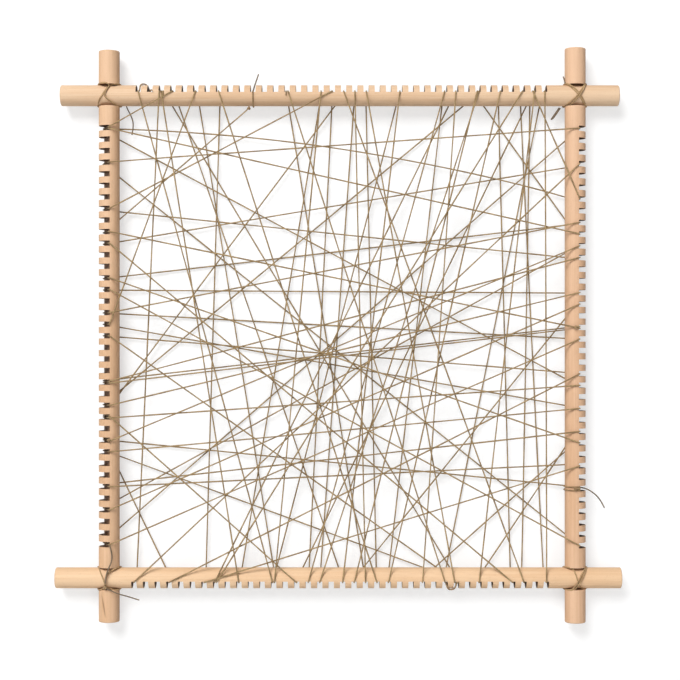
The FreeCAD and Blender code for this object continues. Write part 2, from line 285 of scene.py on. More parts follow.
def grain_group() -> bpy.types.NodeTree:
    """Builds the group for straight-grained pale wood.

    Returns:
        A group that reads a position whose X runs with the grain, and gives colour and height.
    """
    takes = {"Position": VECTOR, "Pale": COLOUR, "Warm": COLOUR, "Vessel": COLOUR, "Shift": VECTOR}
    tree, graph = new_group("straight_grain", takes, {"Color": COLOUR, "Height": FLOAT})
    given = graph.node("NodeGroupInput").outputs
    moved = graph.vector("ADD", given["Position"], given["Shift"])
    broad = graph.noise(graph.vector("MULTIPLY", moved, (5.0, 46.0, 46.0)), 3.0, 0.55)
    streak = graph.noise(graph.vector("MULTIPLY", moved, (14.0, 620.0, 620.0)), 3.0, 0.6)
    fleck = graph.noise(graph.vector("MULTIPLY", moved, (420.0, 3800.0, 3800.0)), 1.0, 0.5)
    tone = graph.math("ADD", graph.math("MULTIPLY", broad, 0.62), graph.math("MULTIPLY", streak, 0.38))
    base = graph.mix(graph.band(tone, 0.36, 0.66), given["Pale"], given["Warm"])
    vessels = graph.math("MULTIPLY", graph.band(fleck, 0.63, 0.78), 0.42)
    out = graph.node("NodeGroupOutput").inputs
    graph.feed(out["Color"], graph.mix(vessels, base, given["Vessel"]))
    raised, sunk = graph.math("MULTIPLY", streak, 0.5), graph.math("MULTIPLY", vessels, 1.1)
    graph.feed(out["Height"], graph.math("SUBTRACT", raised, sunk))
    return tree


def twist_group() -> bpy.types.NodeTree:
    """Builds the group for thin two-ply twine.

    Returns:
        A group that reads a UV of metres along and turns around, and gives colour and height.
    """
    takes = {"UV": VECTOR, "Light": COLOUR, "Dark": COLOUR, "Lay": FLOAT}
    tree, graph = new_group("two_ply_twist", takes, {"Color": COLOUR, "Height": FLOAT})
    given = graph.node("NodeGroupInput").outputs
    parts = graph.node("ShaderNodeSeparateXYZ")
    graph.feed(parts.inputs[0], given["UV"])
    turns = graph.math("ADD", graph.math("DIVIDE", parts.outputs["X"], given["Lay"]), parts.outputs["Y"])
    ply = graph.math("SINE", graph.math("MULTIPLY", turns, 4.0 * math.pi))
    strand = graph.math("ABSOLUTE", ply)
    along = graph.noise(graph.vector("MULTIPLY", given["UV"], (110.0, 2.0, 1.0)), 3.0, 0.6)
    joined = graph.node("ShaderNodeCombineXYZ")
    graph.feed(joined.inputs["X"], graph.math("MULTIPLY", turns, 9.0))
    graph.feed(joined.inputs["Y"], graph.math("MULTIPLY", parts.outputs["X"], 260.0))
    fibre = graph.noise(joined.outputs[0], 2.0, 0.7)
    shade = graph.math("ADD", graph.math("MULTIPLY", along, 0.55), graph.math("MULTIPLY", fibre, 0.45))
    base = graph.mix(graph.band(shade, 0.36, 0.64), given["Dark"], given["Light"])
    # The grooves between the plies are mixed halfway to the dark colour: painted shade in the creases.
    groove_shade = graph.math("MULTIPLY", graph.band(strand, 0.45, 0.0), 0.5)
    out = graph.node("NodeGroupOutput").inputs
    graph.feed(out["Color"], graph.mix(groove_shade, base, given["Dark"]))
    graph.feed(out["Height"], graph.math("ADD", strand, graph.math("MULTIPLY", fibre, 0.5)))
    return tree


class Groups:
    """The shader node groups that several materials place."""

    def __init__(self) -> None:
        """Builds each group once."""
        self.grain = grain_group()
        self.twist = twist_group()


@dataclass(frozen=True)
class Wood:
    """The finish of a sanded, unvarnished dowel, whose slots have browner floors and darker walls: partly
    the cut wood's own tone, partly painted shade in the slots.
    """

    pale: tuple[float, ...]
    warm: tuple[float, ...]
    vessel: tuple[float, ...] = (0.440, 0.250, 0.140, 1.0)
    # The next two colours, for the slots' floors and walls, are the cut wood's darker tone with painted
    # shade added.
    sawn_and_shade: tuple[float, ...] = (0.300, 0.155, 0.080, 1.0)
    wall_dark_and_shade: tuple[float, ...] = (0.085, 0.036, 0.014, 1.0)
    end: tuple[float, ...] = (0.600, 0.390, 0.240, 1.0)
    comb_reach: float = 187.5
    cut_shade_share: float = 0.94
    roughness: float = 0.56

    def material(self, groups: Groups, dowel: Dowel, shift: float) -> bpy.types.Material:
        """Makes the material of one dowel.

        Args:
            groups: The shared node groups.
            dowel: The dowel, whose axis the grain follows.
            shift: Moves the pattern, so that no two dowels match.

        Returns:
            The material.
        """
        made, graph, shader = new_material(f"wood_of_{dowel.name}")
        place = graph.node("ShaderNodeTexCoord").outputs["Object"]
        split = graph.node("ShaderNodeSeparateXYZ")
        graph.feed(split.inputs[0], graph.vector("SUBTRACT", place, tuple(dowel.middle * MM)))
        level = abs(dowel.along.x) > 0.5
        along = split.outputs["X"] if level else split.outputs["Z"]
        across = split.outputs["Z"] if level else split.outputs["X"]
        joined = graph.node("ShaderNodeCombineXYZ")
        for socket, value in zip(joined.inputs, (along, across, split.outputs["Y"])):
            graph.feed(socket, value)
        grain = graph.node("ShaderNodeGroup", node_tree=groups.grain)
        graph.feed(grain.inputs["Position"], joined.outputs[0])
        for name, value in (("Pale", self.pale), ("Warm", self.warm), ("Vessel", self.vessel),
                            ("Shift", (shift, shift * 1.7, shift * 0.6))):
            grain.inputs[name].default_value = value
        depth = split.outputs["Y"]
        squares = (graph.math("MULTIPLY", across, across), graph.math("MULTIPLY", depth, depth))
        from_axis = graph.math("SQRT", graph.math("ADD", *squares))
        radius, half_length = dowel.radius * MM, dowel.half_length * MM
        # Everything cut below the round surface takes the cut wood's tone with painted shade.
        inside = graph.band(from_axis, radius - 0.15 * MM, radius - 0.7 * MM)
        from_middle = graph.math("ABSOLUTE", along)
        ends = graph.band(from_middle, half_length - 1.2 * MM, half_length - 0.4 * MM)
        rings = graph.noise(graph.vector("MULTIPLY", joined.outputs[0], (1.0, 260.0, 700.0)), 4.0, 0.6)
        end_tone = graph.mix(graph.band(rings, 0.35, 0.65), self.end, self.pale)
        facing = graph.node("ShaderNodeSeparateXYZ")
        graph.feed(facing.inputs[0], graph.node("ShaderNodeTexCoord").outputs["Normal"])
        lengthwise = graph.math("ABSOLUTE", facing.outputs["X"] if level else facing.outputs["Z"])
        comb = graph.band(from_middle, (self.comb_reach + 1.0) * MM, (self.comb_reach - 1.0) * MM)
        walls = graph.math("MULTIPLY", comb, graph.band(lengthwise, 0.6, 0.9))
        # Slot floors go brown and slot walls near black: partly the cut wood, partly painted shade in the
        # slots.
        cut_and_shade = graph.mix(walls, self.sawn_and_shade, self.wall_dark_and_shade)
        sawn_and_shade = graph.math("MULTIPLY", inside, graph.math("SUBTRACT", 1.0, ends))
        colour = graph.mix(graph.math("MULTIPLY", sawn_and_shade, self.cut_shade_share), grain.outputs["Color"], cut_and_shade)
        colour = graph.mix(graph.math("MULTIPLY", ends, 0.8), colour, end_tone)
        graph.feed(shader.inputs["Base Color"], colour)
        rough = graph.math("ADD", graph.math("MULTIPLY", grain.outputs["Height"], 0.12), self.roughness)
        graph.feed(shader.inputs["Roughness"], rough)
        shader.inputs["Specular IOR Level"].default_value = 0.35
        graph.relief(shader, grain.outputs["Height"], 0.35)
        return made


@dataclass(frozen=True)
class Twine:
    """The finish of natural bast-fibre twine."""

    name: str
    light: tuple[float, ...]
    dark: tuple[float, ...]
    lay: float = 5.2
    reach: float = 1.0
    roughness: float = 0.82

    def material(self, groups: Groups) -> bpy.types.Material:
        """Makes the material.

        Args:
            groups: The shared node groups.

        Returns:
            The material, which reads the piece's own UV map: U times reach is in metres.
        """
        made, graph, shader = new_material(self.name)
        twist = graph.node("ShaderNodeGroup", node_tree=groups.twist)
        placed = graph.node("ShaderNodeMapping")
        placed.inputs["Scale"].default_value = (self.reach, 1.0, 1.0)
        graph.feed(placed.inputs["Vector"], graph.node("ShaderNodeTexCoord").outputs["UV"])
        graph.feed(twist.inputs["UV"], placed.outputs[0])
        twist.inputs["Light"].default_value = self.light
        twist.inputs["Dark"].default_value = self.dark
        twist.inputs["Lay"].default_value = self.lay * MM
        graph.feed(shader.inputs["Base Color"], twist.outputs["Color"])
        shader.inputs["Roughness"].default_value = self.roughness
        shader.inputs["Specular IOR Level"].default_value = 0.25
        shader.inputs["Sheen Weight"].default_value = 0.15
        graph.relief(shader, twist.outputs["Height"], 0.7)
        return made


# The tails' twine is the web's twine painted darker: painted shade, as if the ends lay in shadow.
SHADED_TAIL_COLOURS = (0.290, 0.215, 0.140, 1.0), (0.110, 0.075, 0.048, 1.0)


# ---- The dowels ----------------------------------------------------------------------------------
@dataclass
class Dowel:
    """One slotted dowel, measured along its axis from the crossing nearest its first slot."""

    name: str
    along: Vector
    outward: Vector
    span: float
    margins: tuple[float, float]
    start: Vector
    drift: float
    roll: float = 0.0
    slots: int = 37
    radius: float = RADIUS
    middle: Vector = field(default_factory=Vector)
    half_length: float = 0.0

    def measure(self) -> None:
        """Takes the dowel's middle and length from the CAD model."""
        low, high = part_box(self.name)
        self.middle = (Vector(low) + Vector(high)) / 2 / MM
        self.half_length = abs((Vector(high) - Vector(low)).dot(self.along)) / 2 / MM

    def point(self, s: float, out: float, back: float) -> Vector:
        """The point s along the axis, out towards the comb's side and back from the axis."""
        return self.start + self.along * s + self.outward * out + Vector((0, back, 0))

    def turned(self, s: float, out: float, back: float) -> Vector:
        """As point, but measured on the comb, which may be rolled towards the front."""
        cos, sin = math.cos(self.roll), math.sin(self.roll)
        return self.point(s, out * cos + back * sin, back * cos - out * sin)

    def slot(self, number: int) -> float:
        """How far along the axis a slot is."""
        share = (number - 1) / (self.slots - 1)
        even = self.margins[0] + share * (self.span - sum(self.margins))
        return even + self.drift * 4 * share * (1 - share)


@dataclass
class Frame:
    """The four dowels."""

    width: float = 404.4
    height: float = 418.4
    radius: float = RADIUS
    slot_depth: float = 7.0
    left_roll: float = math.radians(25.0)
    dowels: dict[str, Dowel] = field(default_factory=dict)

    def __post_init__(self) -> None:
        """Lays out the dowels by their letters: Top, Bottom, Left and Right."""
        left, right, top = -self.width / 2, self.width / 2, self.radius
        across, down, up = Vector((1, 0, 0)), Vector((0, 0, -1)), Vector((0, 0, 1))
        self.dowels = {
            "T": Dowel("top_bar", across, up, self.width, (26.15, 27.6), Vector((left, 0, top)), 1.95),
            "B": Dowel("bottom_bar", across, down, self.width, (22.4, 26.05),
                       Vector((left, 0, top - self.height)), 2.2),
            "L": Dowel("left_upright", down, -across, self.height, (28.7, 29.9),
                       Vector((left, 0, top)), -0.25, self.left_roll),
            "R": Dowel("right_upright", down, across, self.height, (29.3, 28.9),
                       Vector((right, 0, top)), 1.7),
        }

    def crossing(self, level: str, upright: str) -> Vector:
        """The middle of a half-lap.

        Args:
            level: The letter of the bar.
            upright: The letter of the upright.

        Returns:
            The point where their axes cross.
        """
        return Vector((self.dowels[upright].start.x, 0, self.dowels[level].start.z))

    def dress(self, groups: Groups, nodes: dict[str, bpy.types.Object]) -> None:
        """Gives each dowel its wood.

        Args:
            groups: The shared node groups.
            nodes: The CAD nodes' objects by name.
        """
        tones = {
            "T": Wood(pale=(0.790, 0.575, 0.385, 1.0), warm=(0.685, 0.445, 0.268, 1.0)),
            "B": Wood(pale=(0.850, 0.592, 0.370, 1.0), warm=(0.755, 0.485, 0.280, 1.0)),
            "L": Wood(pale=(0.760, 0.500, 0.315, 1.0), warm=(0.665, 0.410, 0.235, 1.0)),
            "R": Wood(pale=(0.755, 0.490, 0.315, 1.0), warm=(0.660, 0.400, 0.235, 1.0)),
        }
        for number, (letter, dowel) in enumerate(self.dowels.items()):
            dowel.measure()
            materials = nodes[dowel.name].data.materials
            materials.clear()
            materials.append(tones[letter].material(groups, dowel, 0.37 * (number + 1)))
            LOG.info("%s dressed in wood", dowel.name)


# ---- Twine as tubes ------------------------------------------------------------------------------
@dataclass
class Spinner:
    """Makes pieces of twine that follow smooth lines."""

    groups: Groups
    diameter: float = TWINE
    fluff: float = 1.12
    uneven: float = 0.09
    sides: int = 8
    materials: dict[Slot, bpy.types.Material] = field(default_factory=dict)

    def __post_init__(self) -> None:
        """Makes the twine's materials."""
        finishes = {
            Slot.WEB: Twine("natural_twine_web", (0.500, 0.350, 0.175, 1.0),
                            (0.205, 0.130, 0.060, 1.0)),
            # The lashing's twine is the web's twine painted lighter: a painted highlight for strands lit on
            # the wood.
            Slot.LASHING: Twine("natural_twine_lashing_painted_light", (0.660, 0.450, 0.235, 1.0),
                                (0.260, 0.150, 0.066, 1.0)),
            Slot.KNOT: Twine("natural_twine_knot", (0.560, 0.380, 0.200, 1.0),
                             (0.200, 0.115, 0.052, 1.0)),
            Slot.TAIL: Twine("natural_twine_tail_painted_shade", *SHADED_TAIL_COLOURS),
        }
        self.materials = {slot: finish.material(self.groups) for slot, finish in finishes.items()}

    def line(self, name: str, routes: list[list[Vector]], seed: int, steps: int, radius: float,
             closed: bool = False) -> bpy.types.Object:
        """Makes a curve object of round section.

        Args:
            name: The object's name.
            routes: Each smooth line's control points, in millimetres.
            seed: Seeds the small changes of thickness.
            steps: How many lengths the line has between two control points.
            radius: The tube's radius, in millimetres.
            closed: Whether the lines close on themselves.

        Returns:
            The curve's object.
        """
        dice = random.Random(seed)
        curve = bpy.data.curves.new(name, "CURVE")
        curve.dimensions = "3D"
        curve.resolution_u = steps
        curve.bevel_depth = radius * MM
        curve.bevel_resolution = (self.sides - 4) // 2
        curve.use_fill_caps = True
        for route in routes:
            spline = curve.splines.new("NURBS")
            spline.points.add(len(route) - 1)
            spline.order_u = 3
            spline.use_endpoint_u = not closed
            spline.use_cyclic_u = closed
            thickness = 1.0
            for point, place in zip(spline.points, route):
                thickness += 0.5 * (1.0 - thickness) + dice.uniform(-self.uneven, self.uneven)
                point.co = (*(place * MM), 1.0)
                point.radius = thickness
        return link(name, curve)

    def tube(self, name: str, routes: list[list[Vector]], seed: int, slot: Slot, steps: int = 3,
             closed: bool = False) -> bpy.types.Object:
        """Makes a finished mesh piece of twine, with a UV of metres along and turns around.

        Args:
            name: The piece's name.
            routes: Each smooth line's control points, in millimetres.
            seed: Seeds the small changes of thickness.
            slot: The material slot it takes its finish from.
            steps: How many lengths the line has between two control points.
            closed: Whether the lines close on themselves.

        Returns:
            The piece.
        """
        source = self.line(f"{name}_line", routes, seed, steps, self.diameter / 2 * self.fluff, closed)
        bpy.context.view_layer.update()
        smooth = source.evaluated_get(bpy.context.evaluated_depsgraph_get())
        mesh = bpy.data.meshes.new_from_object(smooth)
        data = source.data
        bpy.data.objects.remove(source)
        bpy.data.curves.remove(data)
        mesh.name = name
        made = link(name, mesh)
        rings = [len(route) * steps if closed else (len(route) - 1) * steps + 1 for route in routes]
        if len(routes) == 1:
            rings = [len(mesh.vertices) // self.sides]
        self.lay_uv(mesh, rings, closed)
        mesh.shade_smooth()
        mesh.materials.clear()
        mesh.materials.append(self.materials[slot])
        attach(made, BODY)
        LOG.info("%s: %d line(s), %d faces", name, len(routes), len(mesh.polygons))
        return made

    def lay_uv(self, mesh: bpy.types.Mesh, counts: list[int], closed: bool) -> None:
        """Writes a UV whose U is metres along the twine and whose V is turns around it.

        Args:
            mesh: The tube's mesh, whose vertices come ring by ring.
            counts: How many rings each line has.
            closed: Whether the lines close on themselves.
        """
        places = np.zeros(len(mesh.vertices) * 3)
        mesh.vertices.foreach_get("co", places)
        rings = places.reshape(-1, self.sides, 3).mean(axis=1)
        along = np.zeros(len(rings))
        whole = np.zeros(len(rings))
        start = 0
        for count in counts:
            part = rings[start:start + count]
            steps = np.linalg.norm(np.diff(part, axis=0), axis=1)
            along[start + 1:start + count] = np.cumsum(steps)
            last = float(np.linalg.norm(part[-1] - part[0])) if closed else 0.0
            whole[start:start + count] = along[start + count - 1] + last
            start += count
        used = np.zeros(len(mesh.loops), dtype=np.int64)
        mesh.loops.foreach_get("vertex_index", used)
        ring, side = used // self.sides, used % self.sides
        u, v = along[ring], side / self.sides
        sizes = np.zeros(len(mesh.polygons), dtype=np.int64)
        mesh.polygons.foreach_get("loop_total", sizes)
        face = np.repeat(np.arange(len(sizes)), sizes)
        top_u, top_v = np.zeros(len(sizes)), np.zeros(len(sizes))
        np.maximum.at(top_u, face, u)
        np.maximum.at(top_v, face, v)
        u = np.where(closed & (top_u[face] - u > whole[ring] / 2), u + whole[ring], u)
        v = np.where(top_v[face] - v > 0.5, v + 1.0, v)
        layer = mesh.uv_layers[0] if mesh.uv_layers else mesh.uv_layers.new(name="UVMap")
        layer.data.foreach_set("uv", np.stack([u, v], axis=1).astype(np.float32).ravel())


# ---- The web -------------------------------------------------------------------------------------
class Stop:
    """One visit of the twine to a slot: its dowel, its slot, and the faces it comes to and leaves."""

    def __init__(self, text: str, frame: Frame) -> None:
        """Reads a stop.

        Args:
            text: The dowel's letter, the slot's number, and f, b or a dash for each face.
            frame: The frame that has the dowels.
        """
        faces = {"f": Face.FRONT, "b": Face.BACK, "-": None}
        self.dowel = frame.dowels[text[0]]
        self.place = text[:-2]
        self.number = int(text[1:-2])
        self.arrives = faces[text[-2]]
        self.leaves = faces[text[-1]]
        self.lanes: list[float] = []

    @property
    def strands(self) -> int:
        """How many strands of this visit lie side by side in the slot."""
        return 2 if self.arrives is self.leaves else 1


@dataclass
class Web:
    """The web: six lengths of twine wound from slot to slot."""

    frame: Frame
    gap: float = 0.15
    twine: float = TWINE
    bend: float = 1.3
    lane: float = 1.6
    slack_rise: float = 14.0
    slack_chord: tuple[str, str] = ("L1", "R7")
    spacing: float = 6.0
    wood_clear: float = 1.05
    turn_clear: float = 1.5
    rounds: int = 900
    squeeze: float = 0.97
    push: float = 0.4
    tension: float = 0.3
    clear_share: float = 0.03
    low_knot: tuple[float, float] = (-3.4, -3.2)
    routes: tuple[str, ...] = (
        "T1-f B13fb T24bf B19fb T4bf L1fb R7bf T36fb B35bf T19fb L26bf B15fb T36bf "
        "B31fb R27bf L32bf R30bf B7fb T8bf B22fb T21bf B29fb L19fb R22bf B4fb L28b-",
        "T3-f B1bf R4fb L11bf B34fb T33bf B23fb T28bf B16fb T18bf L8fb R12bf L23fb R18b-",
        "T11-f L10bf R18fb L23f-",
        "L26-f R23fb L1bf R10fb T31bf B20fb R16bf L34fb R11bf L28fb R32b-",
        "T3-f B10fb T17bf B13fb T6bf L18fb R25bf L29fb B29bb T3b-",
        "T14-b B21bf T20fb B17bf T31fb L25bf R15fb L15bf R37fb L4bf R1fb L37bf R19fb "
        "L17bf R9fb L14bf R28fb B26bf T29fb B8ff T35fb B37bf T37fb B28bf T14f-",
    )

    def __post_init__(self) -> None:
        """Works out where a strand's axis lies on the wood, and shares out the slots."""
        self.on_floor = self.frame.radius - self.frame.slot_depth + self.twine / 2 + self.gap
        self.on_face = self.frame.radius + self.twine / 2 + self.gap
        self.stops = [[Stop(text, self.frame) for text in route.split()] for route in self.routes]
        self.share_slots()

    def share_slots(self) -> None:
        """Spreads the strands that share a slot evenly across it."""
        visits = [stop for route in self.stops for stop in route]
        strands: dict[str, int] = {}
        for stop in visits:
            strands[stop.place] = strands.get(stop.place, 0) + stop.strands
        used: dict[str, int] = {}
        for stop in visits:
            for _ in range(stop.strands):
                turn = used.get(stop.place, 0)
                used[stop.place] = turn + 1
                stop.lanes.append((turn - (strands[stop.place] - 1) / 2) * self.lane)

    def hangs_low(self, stop: Stop) -> bool:
        """Whether the length starts at the knot under the top bar's lower edge."""
        return stop.arrives is None and stop.place == "T11"

    def corner(self, stop: Stop, face: Face, lane: float) -> Vector:
        """Where a strand turns over the edge of a slot."""
        s = stop.dowel.slot(stop.number) + lane
        if self.hangs_low(stop):
            along, past = self.low_knot
            return stop.dowel.point(s + along, past - self.frame.radius, face.value * self.frame.radius)
        return stop.dowel.turned(s, self.on_floor, face.value * self.on_face)

    def wrap(self, stop: Stop, face: Face, lane: float) -> list[Vector]:
        """Where the twine turns on a rolled dowel's back, if it does."""
        if not stop.dowel.roll or face is Face.FRONT:
            return []
        corner = self.corner(stop, face, lane) - stop.dowel.start
        half = math.atan2(corner.dot(stop.dowel.outward), corner.y) / 2
        s = stop.dowel.slot(stop.number) + lane
        return [stop.dowel.point(s, self.on_face * math.tan(half), self.on_face)]

    def through(self, stop: Stop) -> list[Vector]:
        """The corners of the route through a slot.

        Args:
            stop: The visit.

        Returns:
            The points from the face it comes to, to the face it leaves.
        """
        first, last = stop.lanes[0], stop.lanes[-1]
        if self.hangs_low(stop):
            return [self.corner(stop, stop.leaves, first)]
        s = stop.dowel.slot(stop.number) + first
        if stop.arrives is None:
            far = stop.leaves.other
            tied = stop.dowel.point(s, -self.bend, far.value * self.on_face)
            start = [tied, *self.wrap(stop, far, first), self.corner(stop, far, first)]
            return [*start, self.corner(stop, stop.leaves, first), *self.wrap(stop, stop.leaves, first)]
        far = stop.arrives.other
        arrival = [*self.wrap(stop, stop.arrives, first), self.corner(stop, stop.arrives, first)]
        arrival.append(self.corner(stop, far, first))
        if stop.leaves is None:
            tied = stop.dowel.point(s, -self.bend, far.value * self.on_face)
            return [*arrival, *self.wrap(stop, far, first), tied]
        if stop.leaves is stop.arrives:
            arrival += [self.corner(stop, far, last), self.corner(stop, stop.leaves, last)]
        return [*arrival, *self.wrap(stop, stop.leaves, last)]

    def chord(self, before: Stop, after: Stop) -> tuple[np.ndarray, np.ndarray]:
        """Samples the straight strand between two stops.

        Args:
            before: The stop that it leaves.
            after: The stop that it comes to.

        Returns:
            The samples, and for each whether it is off the wood and free to move.
        """
        a = self.corner(before, before.leaves, before.lanes[-1])
        b = self.corner(after, after.arrives, after.lanes[0])
        count = max(4, round((b - a).length / self.spacing))
        share = np.linspace(0.0, 1.0, count + 1)[:, None]
        line = np.array(a)[None, :] * (1 - share) + np.array(b)[None, :] * share
        line[:, 1] = self.depth_along(line, before, after)
        if (before.place, after.place) == self.slack_chord:
            line[:, 2] += self.slack_rise * np.sin(share[:, 0] * math.pi) ** 0.8
        free = np.ones(len(line), bool)
        for stop in (before, after):
            offset = (line - np.array(stop.dowel.start)) @ np.array(stop.dowel.outward)
            free &= offset < -self.frame.radius * self.wood_clear
        return line, free

    def depth_along(self, line: np.ndarray, before: Stop, after: Stop) -> np.ndarray:
        """How deep each sample lies: on the dowels' faces, and straight between them.

        Args:
            line: The samples in the loom's plane.
            before: The stop that the strand leaves.
            after: The stop that it comes to.

        Returns:
            The samples' depths.
        """
        start = (line - np.array(before.dowel.start)) @ np.array(before.dowel.outward)
        end = (line - np.array(after.dowel.start)) @ np.array(after.dowel.outward)
        first, last = before.leaves.value * self.on_face, after.arrives.value * self.on_face
        travelled = np.clip(-start, 0, None) / (np.clip(-start, 0, None) + np.clip(-end, 0, None) + 1e-9)
        return first + (last - first) * travelled

    def settle(self, chords: list[tuple[np.ndarray, np.ndarray]]) -> None:
        """Lets the strands ride over each other where they cross, like taut string.

        Args:
            chords: Every strand's samples and which of them are free, in the order of winding. Their
                depths are changed in place.
        """
        starts = np.cumsum([0] + [len(samples) for samples, _ in chords])
        depth = np.concatenate([samples[:, 1] for samples, _ in chords])
        free = np.concatenate([loose for _, loose in chords]).astype(float)
        inner = np.ones(len(depth), bool)
        inner[starts[:-1]] = inner[starts[1:] - 1] = False
        inner &= free > 0
        middle = np.flatnonzero(inner)
        found: list[tuple[int, float, int, float, float]] = []
        for i, (above, _) in enumerate(chords):
            for j, (below, _) in enumerate(chords[:i]):
                p, r = above[0, [0, 2]], above[-1, [0, 2]] - above[0, [0, 2]]
                q, s = below[0, [0, 2]], below[-1, [0, 2]] - below[0, [0, 2]]
                cross = r[0] * s[1] - r[1] * s[0]
                if abs(cross) < 1e-6:
                    continue
                t = ((q[0] - p[0]) * s[1] - (q[1] - p[1]) * s[0]) / cross
                u = ((q[0] - p[0]) * r[1] - (q[1] - p[1]) * r[0]) / cross
                if not all(self.clear_share < share < 1 - self.clear_share for share in (t, u)):
                    continue
                x, y = t * (len(above) - 1), u * (len(below) - 1)
                high = np.interp(x, np.arange(len(above)), above[:, 1])
                low = np.interp(y, np.arange(len(below)), below[:, 1])
                outer = 1.0 if high + low > 0 else -1.0
                side = math.copysign(1.0, high - low) if abs(high - low) > self.twine / 2 else outer
                found.append((starts[i] + int(x), x % 1, starts[j] + int(y), y % 1, side))
        a, wa, b, wb, side = (np.array(column) for column in zip(*found))
        apart = self.twine * self.squeeze
        for _ in range(self.rounds):
            gap = depth[a] * (1 - wa) + depth[a + 1] * wa - depth[b] * (1 - wb) - depth[b + 1] * wb
            push = side * np.clip(apart - side * gap, 0, None) * self.push
            move = np.zeros(len(depth))
            for index, weight in ((a, 1 - wa), (a + 1, wa), (b, wb - 1), (b + 1, -wb)):
                np.add.at(move, index, weight * push)
            depth += np.clip(move, -self.push, self.push) * free
            even = (depth[middle - 1] + depth[middle + 1]) / 2
            depth[middle] += self.tension * (even - depth[middle])
        for number, (samples, _) in enumerate(chords):
            samples[:, 1] = depth[starts[number]:starts[number + 1]]
        LOG.info("web settled over %d crossings, depths %.1f to %.1f", len(found), depth.min(), depth.max())

    def shoulders(self, points: list[Vector]) -> list[Vector]:
        """Adds a point close to each side of every corner, so that the twine hugs the wood there.

        Args:
            points: The corners of a route through a slot.

        Returns:
            The points with their shoulders.
        """
        made = [points[0]]
        for here, after in zip(points, points[1:]):
            run = after - here
            reach = min(self.bend, run.length * 0.3)
            made.append(here + run.normalized() * reach)
            made.append(after - run.normalized() * reach)
            made.append(after)
        return made

    def between(self, samples: np.ndarray, before: Stop, start: Vector, after: Stop,
                end: Vector) -> list[Vector]:
        """Takes the samples of a strand that lie between its two turns.

        Args:
            samples: The strand's samples.
            before: The stop that it leaves.
            start: The turn that it leaves.
            after: The stop that it comes to.
            end: The turn that it comes to.

        Returns:
            The samples that are clear of both turns.
        """
        made = []
        for sample in samples[1:-1]:
            place = Vector(sample)
            turns = ((before, start), (after, end))
            if all((place - turn).dot(stop.dowel.outward) < -self.turn_clear for stop, turn in turns):
                made.append(place)
        return made

    def build(self, spinner: Spinner) -> None:
        """Makes the six lengths.

        Args:
            spinner: What makes the twine.
        """
        chords = [[self.chord(a, b) for a, b in zip(route, route[1:])] for route in self.stops]
        self.settle([chord for route in chords for chord in route])
        for number, (route, strands) in enumerate(zip(self.stops, chords), start=1):
            line = self.shoulders(self.through(route[0]))
            last = route[0]
            for stop, (samples, _) in zip(route[1:], strands):
                before, after = line[-1], self.through(stop)
                inner = self.between(samples, last, before, stop, after[0])
                last = stop
                line.append(before + (inner[0] - before).normalized() * self.bend)
                line += inner
                line.append(after[0] + (inner[-1] - after[0]).normalized() * self.bend)
                line += self.shoulders(after)
            name = f"web_twine_{number}"
            piece = spinner.tube(f"{name}_spun", [line], number, Slot.WEB, steps=3)
            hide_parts(name)


# ---- Lashings, hitches, knots and loose ends -----------------------------------------------------
Route = tuple[tuple[float, float], ...]


@dataclass
class Lashing:
    """The crossed lashing that ties one half-lap, from its strands over the front of the crossing.

    Each strand is a line of (right, up) from the crossing's middle. Each one ends in a crotch between
    the bar and the upright, and from there the twine runs behind the wood to the next strand's start.
    """

    node: str
    centre: Vector
    seed: int
    strands: tuple[Route, ...]
    under: tuple[int, ...]
    radius: float = RADIUS
    face: float = 9.68
    twine: float = TWINE
    layer: float = 0.25
    ride: float = 0.95

    def over(self, x: float, z: float, lift: float) -> float:
        """How far in front of the crossing's middle a strand lies where it hugs the wood.

        Args:
            x: The strand's place to the right of the middle.
            z: Its place above the middle.
            lift: How much higher it rides on what is under it.

        Returns:
            The distance towards the front.
        """
        reach = self.face + lift
        bar = math.sqrt(max(0.0, reach * reach - z * z))
        upright = math.sqrt(max(0.0, reach * reach - x * x)) if abs(z) > self.radius else 0.0
        return max(bar, upright)

    def front(self, number: int) -> list[Vector]:
        """The control points of one strand over the front.

        Args:
            number: Which strand.

        Returns:
            Its points, from crotch to crotch.
        """
        strand = self.strands[number]
        lift = 0.0 if number in self.under else self.twine * self.ride
        made = []
        for place, (x, z) in enumerate(strand):
            last = place in (0, len(strand) - 1)
            middle = math.sin(math.pi * place / (len(strand) - 1))
            made.append(self.centre + Vector((x, 0.0 if last else -self.over(x, z, lift * middle), z)))
        return made

    def behind(self, start: Vector, end: Vector, layer: float) -> list[Vector]:
        """The twine behind the wood from one crotch to the next: round the bar, or round the upright.

        Args:
            start: Where it leaves the front.
            end: Where it comes back to the front.
            layer: How much further out it runs than the first turn does.

        Returns:
            Its control points.
        """
        a, b = start - self.centre, end - self.centre
        reach = self.face + layer
        upward = a.x * b.x > 0
        made = []
        for angle in (-60, -28, 0, 28, 60):
            turn = math.radians(angle)
            share = (math.sin(turn) + 1) / 2
            if upward:
                x, z = a.x + (b.x - a.x) * share, math.copysign(reach, b.z) * math.sin(turn)
            else:
                x, z = math.copysign(reach, b.x) * math.sin(turn), a.z + (b.z - a.z) * share
            made.append(self.centre + Vector((x, math.cos(turn) * reach, z)))
        return made

    def build(self, spinner: Spinner) -> None:
        """Makes the lashing as one closed length of twine.

        Args:
            spinner: What makes the twine.
        """
        line: list[Vector] = []
        fronts = [self.front(number) for number in range(len(self.strands))]
        for number, strand in enumerate(fronts):
            following = fronts[(number + 1) % len(fronts)]
            line += strand
            line += self.behind(strand[-1], following[0], self.layer * number)
        piece = spinner.tube(f"{self.node}_tied", [line], self.seed, Slot.LASHING, 4, closed=True)
        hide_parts(self.node)


